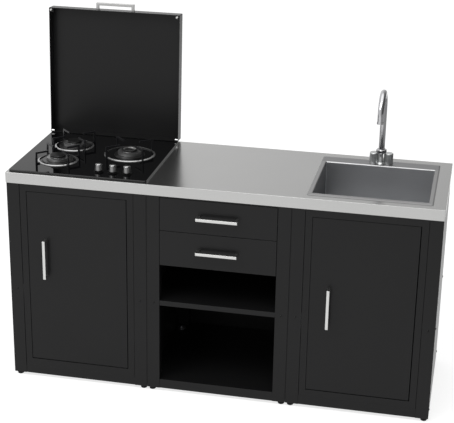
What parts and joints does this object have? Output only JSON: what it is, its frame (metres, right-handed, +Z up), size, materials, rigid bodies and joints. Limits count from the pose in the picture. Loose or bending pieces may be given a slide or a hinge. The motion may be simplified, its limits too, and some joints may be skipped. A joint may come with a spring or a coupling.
{
  "type": "outdoor kitchen",
  "caption": "Outdoor kitchen of three cabinets under a steel worktop, with a lidded gas hob, drawers, open shelves and an inset sink with a swivel tap.",
  "frame": {"origin": "on the floor, under the centre of the overall footprint", "axes": "+X along the worktop to the viewer's right, -Y to the front, +Z up"},
  "size_m": [1.801, 0.6616, 1.5377],
  "materials": {
    "black_paint": "fine satin powder coat, near black",
    "stainless": "fine brushed stainless sheet",
    "bright_bar": "brushed stainless bar",
    "chrome": "polished",
    "black_glass": "polished black toughened glass",
    "enamel": "matt black enamel",
    "aluminium": "satin turned aluminium",
    "knob_metal": "satin turned knob",
    "rubber": "black rubber",
    "pale_rubber": "pale grey rubber",
    "zinc": "zinc plated",
    "sink_steel": "satin stainless, finer and darker than the worktop",
    "trim_steel": "polished steel ring",
    "black_screw": "black screw head",
    "brass": "plain brass",
    "ceramic": "white glazed ceramic"
  },
  "bodies": {
    "cabinet": {"side_panels": "black_paint", "corner_posts": "black_paint", "back_panels": "black_paint", "base_trays": "black_paint", "centre_shelf": "black_paint", "cabinet_shelves": "black_paint", "top_rails": "black_paint", "left_face_frame": "black_paint", "right_face_frame": "black_paint", "door_pins": "zinc", "door_catches": "rubber", "drawer_runners": "zinc", "feet": "rubber", "screws": "black_screw", "worktop": "stainless", "worktop_stiffeners": "zinc", "hob_seal": "rubber", "hob_glass": "black_glass", "hob_tray": "zinc", "burners": "aluminium", "burner_caps": "enamel", "spark_plugs": "ceramic", "burner_rings": "trim_steel", "front_pan_support": "enamel", "rear_pan_support": "enamel", "wok_pan_support": "enamel", "knob_rings": "rubber", "gas_manifold": "brass", "feed_pipes": "aluminium", "lid_hinges": "zinc", "lid_stops": "pale_rubber", "sink": "sink_steel", "sink_waste": "chrome", "tap_body": "chrome", "tap_collar": "chrome", "tap_shank": "zinc"},
    "left_door": {"left_door": "black_paint", "left_door_handle": "bright_bar"},
    "right_door": {"right_door": "black_paint", "right_door_handle": "bright_bar"},
    "upper_drawer": {"upper_drawer_front": "black_paint", "upper_drawer_box": "black_paint", "upper_drawer_handle": "bright_bar", "upper_drawer_slides": "zinc"},
    "lower_drawer": {"lower_drawer_front": "black_paint", "lower_drawer_box": "black_paint", "lower_drawer_handle": "bright_bar", "lower_drawer_slides": "zinc"},
    "lid": {"lid": "black_paint", "lid_handle": "bright_bar", "lid_buffers": "pale_rubber"},
    "left_spindle": {"left_spindle": "zinc"},
    "middle_spindle": {"middle_spindle": "zinc"},
    "right_spindle": {"right_spindle": "zinc"},
    "left_knob": {"left_knob": "knob_metal"},
    "middle_knob": {"middle_knob": "knob_metal"},
    "right_knob": {"right_knob": "knob_metal"},
    "spout": {"tap_spout": "chrome"},
    "left_tap_knob": {"left_tap_knob": "chrome"},
    "right_tap_knob": {"right_tap_knob": "chrome"}
  },
  "joints": [
    {"name": "left_door_hinge", "type": "hinge", "parent": "cabinet", "child": "left_door", "pos_m": [-0.3948, -0.28477, 0.47425], "axis": [0, 0, 1], "range_deg": [0, 100]},
    {"name": "right_door_hinge", "type": "hinge", "parent": "cabinet", "child": "right_door", "pos_m": [0.8032, -0.28477, 0.47425], "axis": [0, 0, 1], "range_deg": [0, 100]},
    {"name": "upper_drawer_slide", "type": "slide", "parent": "cabinet", "child": "upper_drawer", "axis": [0, -1, 0], "range_m": [0, 0.35]},
    {"name": "lower_drawer_slide", "type": "slide", "parent": "cabinet", "child": "lower_drawer", "axis": [0, -1, 0], "range_m": [0, 0.35]},
    {"name": "lid_hinge", "type": "hinge", "parent": "cabinet", "child": "lid", "pos_m": [-0.597, 0.25973, 0.954], "axis": [1, 0, 0], "range_deg": [0, 92.5]},
    {"name": "left_knob_push", "type": "slide", "parent": "cabinet", "child": "left_spindle", "axis": [0, 0, -1], "range_m": [0, 0.004], "stiffness_N_per_m": 600, "springref_m": -0.008},
    {"name": "left_knob_turn", "type": "hinge", "parent": "left_spindle", "child": "left_knob", "pos_m": [-0.5215, -0.21527, 0.9535], "axis": [0, 0, 1], "range_deg": [0, 210]},
    {"name": "middle_knob_push", "type": "slide", "parent": "cabinet", "child": "middle_spindle", "axis": [0, 0, -1], "range_m": [0, 0.004], "stiffness_N_per_m": 600, "springref_m": -0.008},
    {"name": "middle_knob_turn", "type": "hinge", "parent": "middle_spindle", "child": "middle_knob", "pos_m": [-0.4615, -0.21527, 0.9535], "axis": [0, 0, 1], "range_deg": [0, 210]},
    {"name": "right_knob_push", "type": "slide", "parent": "cabinet", "child": "right_spindle", "axis": [0, 0, -1], "range_m": [0, 0.004], "stiffness_N_per_m": 600, "springref_m": -0.008},
    {"name": "right_knob_turn", "type": "hinge", "parent": "right_spindle", "child": "right_knob", "pos_m": [-0.4015, -0.21527, 0.9535], "axis": [0, 0, 1], "range_deg": [0, 210]},
    {"name": "spout_swivel", "type": "hinge", "parent": "cabinet", "child": "spout", "pos_m": [0.601, 0.19373, 1.002], "axis": [0, 0, 1], "range_deg": [-110, 110]},
    {"name": "left_tap_turn", "type": "hinge", "parent": "cabinet", "child": "left_tap_knob", "pos_m": [0.571, 0.20973, 0.988], "axis": [0, 0, 1], "range_deg": [0, 90]},
    {"name": "right_tap_turn", "type": "hinge", "parent": "cabinet", "child": "right_tap_knob", "pos_m": [0.631, 0.20973, 0.988], "axis": [0, 0, 1], "range_deg": [-90, 0]}
  ]
}
